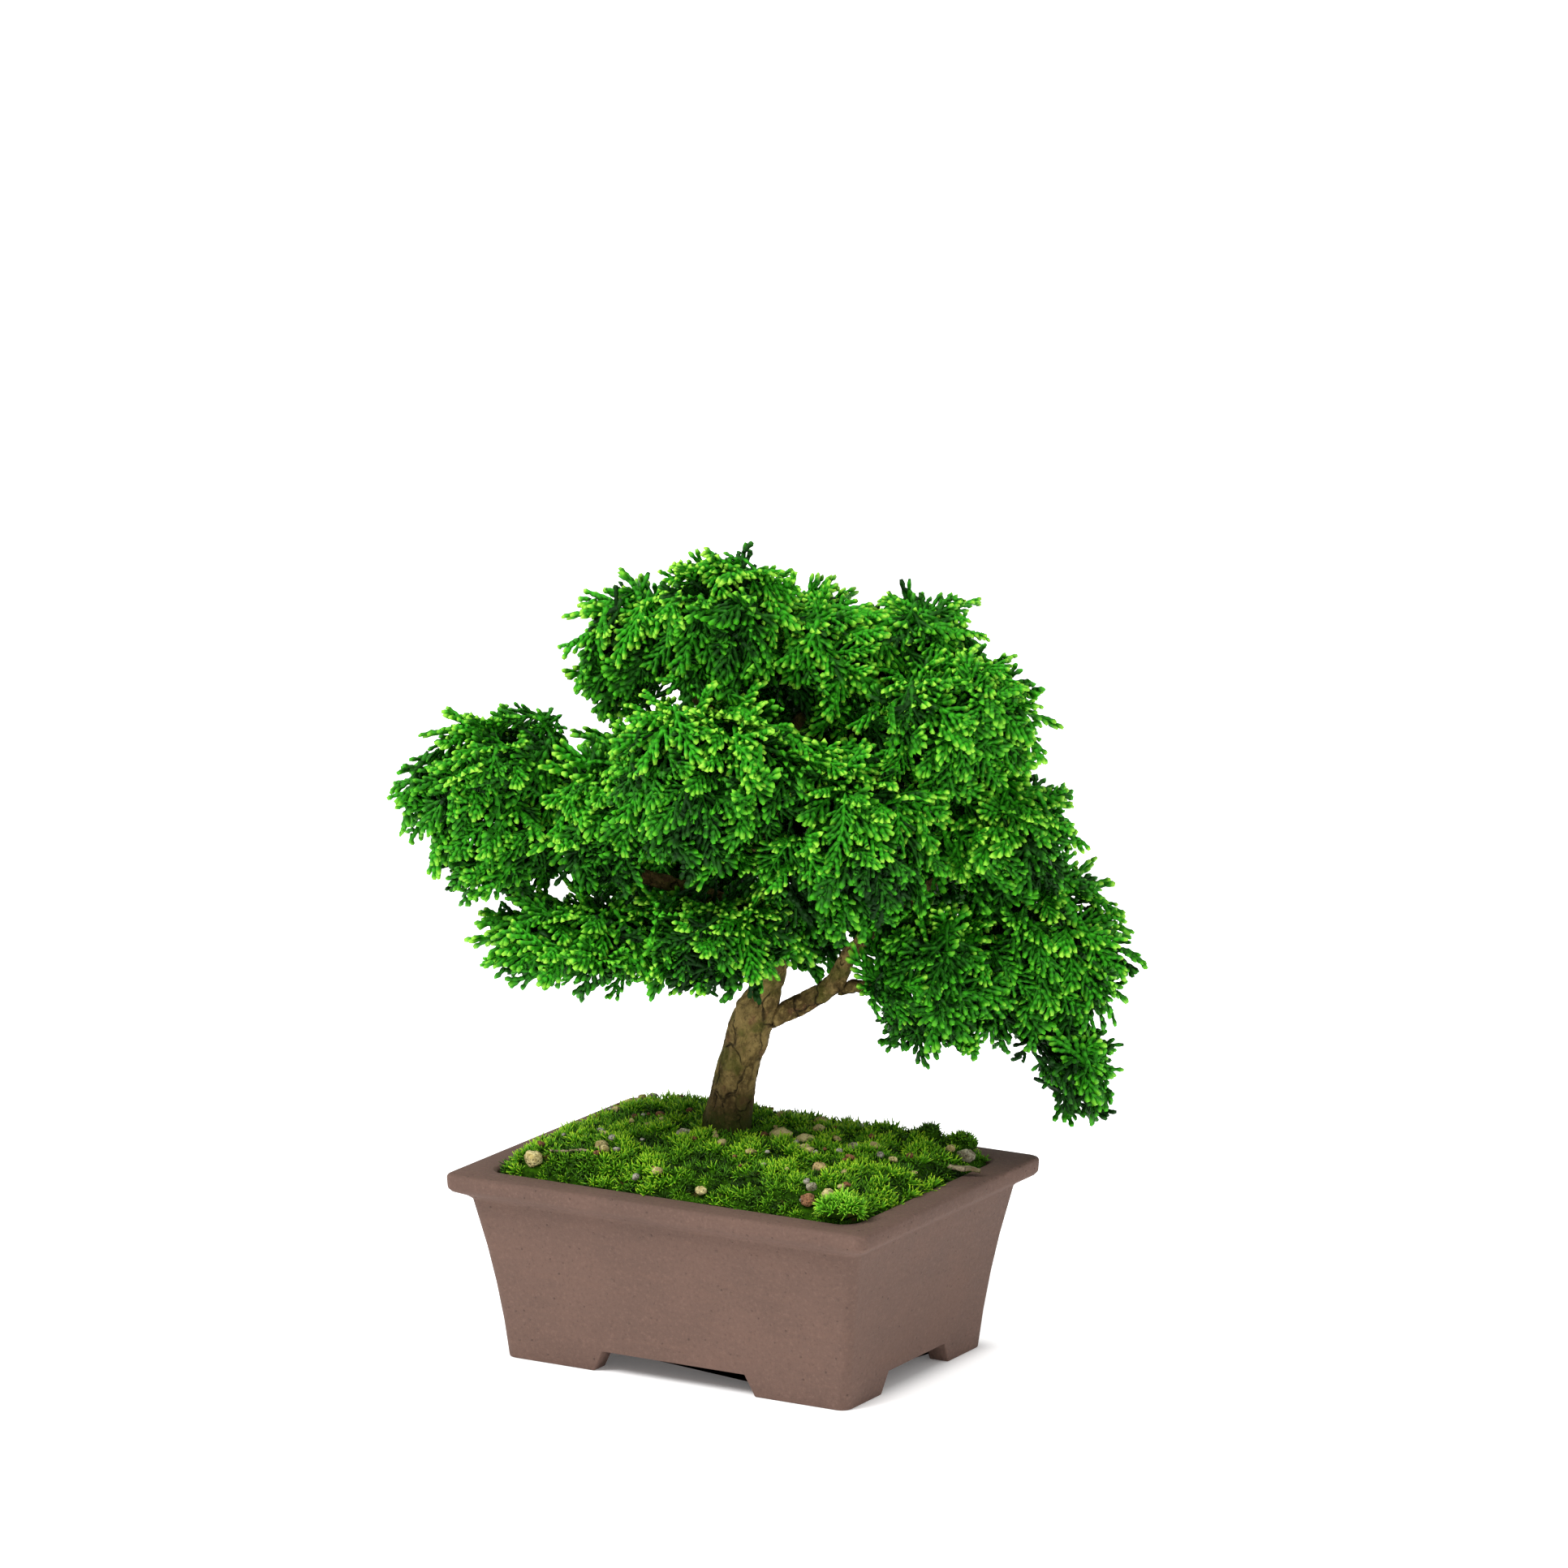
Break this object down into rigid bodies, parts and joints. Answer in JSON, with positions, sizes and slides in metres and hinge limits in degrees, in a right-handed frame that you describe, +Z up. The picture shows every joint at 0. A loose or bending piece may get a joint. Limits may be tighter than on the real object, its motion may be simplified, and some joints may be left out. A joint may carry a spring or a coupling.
{
  "type": "potted bonsai tree",
  "caption": "Small hinoki cypress bonsai with a leaning trunk and dense layered foliage, in mossy soil in a rectangular unglazed clay pot on cut-out feet.",
  "frame": {"origin": "on the ground under the middle of the whole object's box, a few millimetres from the middle of the pot", "axes": "+Z up; X along the pot's long side; the long face of the pot that is seen most faces -Y"},
  "size_m": [0.274, 0.1912, 0.3431],
  "materials": {
    "clay": "matte",
    "screen": "matte",
    "wire": "satin",
    "soil": "matte",
    "moss": "matte",
    "moss_dark": "matte",
    "moss_fresh": "matte",
    "stone_pale": "matte",
    "stone_grey": "matte",
    "stone_tan": "matte",
    "stone_brown": "matte",
    "bark_chip": "matte",
    "bark": "matte",
    "foliage": "matte"
  },
  "bodies": {
    "root": {"pot": "clay", "drain_screen_left": "screen", "drain_screen_right": "screen", "screen_clip_left": "wire", "screen_clip_right": "wire", "soil": "soil", "moss_carpet": "moss", "moss_ball": "moss_dark", "moss_cushion_right": "moss", "moss_clump_front": "moss_fresh", "stone_left_end": "stone_pale", "stone_left_back": "stone_pale", "stone_by_trunk_left": "stone_grey", "stone_by_trunk_long": "stone_pale", "stone_by_trunk_right": "stone_pale", "stone_back": "stone_grey", "stone_right": "stone_tan", "stone_front_left": "stone_pale", "stone_front_square": "stone_grey", "stone_front_round": "stone_pale", "stone_front_brown": "stone_brown", "stone_corner": "stone_grey", "bark_chip": "bark_chip", "dry_twig": "bark_chip", "trunk": "bark", "limb_low_right": "bark", "limb_low_right_fork": "bark", "limb_low_left": "bark", "limb_left": "bark", "limb_front": "bark", "limb_front_right": "bark", "limb_front_low": "bark", "limb_right": "bark", "limb_top_right": "bark", "limb_top_left": "bark", "limb_back_left": "bark", "limb_back": "bark", "limb_back_right": "bark", "foliage_apex": "foliage", "foliage_apex_left": "foliage", "foliage_top_middle": "foliage", "foliage_top_right": "foliage", "foliage_right_upper": "foliage", "foliage_front": "foliage", "foliage_left": "foliage", "foliage_left_inner": "foliage", "foliage_low_left": "foliage", "foliage_front_low": "foliage", "foliage_front_right": "foliage", "foliage_right_middle": "foliage", "foliage_right_low": "foliage", "foliage_right_low_front": "foliage", "foliage_right_hanging": "foliage", "foliage_low_middle": "foliage", "foliage_back_left": "foliage", "foliage_back_top": "foliage", "foliage_back_middle": "foliage", "foliage_back_right": "foliage", "foliage_back_low_right": "foliage", "foliage_back_low_left": "foliage"}
  },
  "joints": []
}
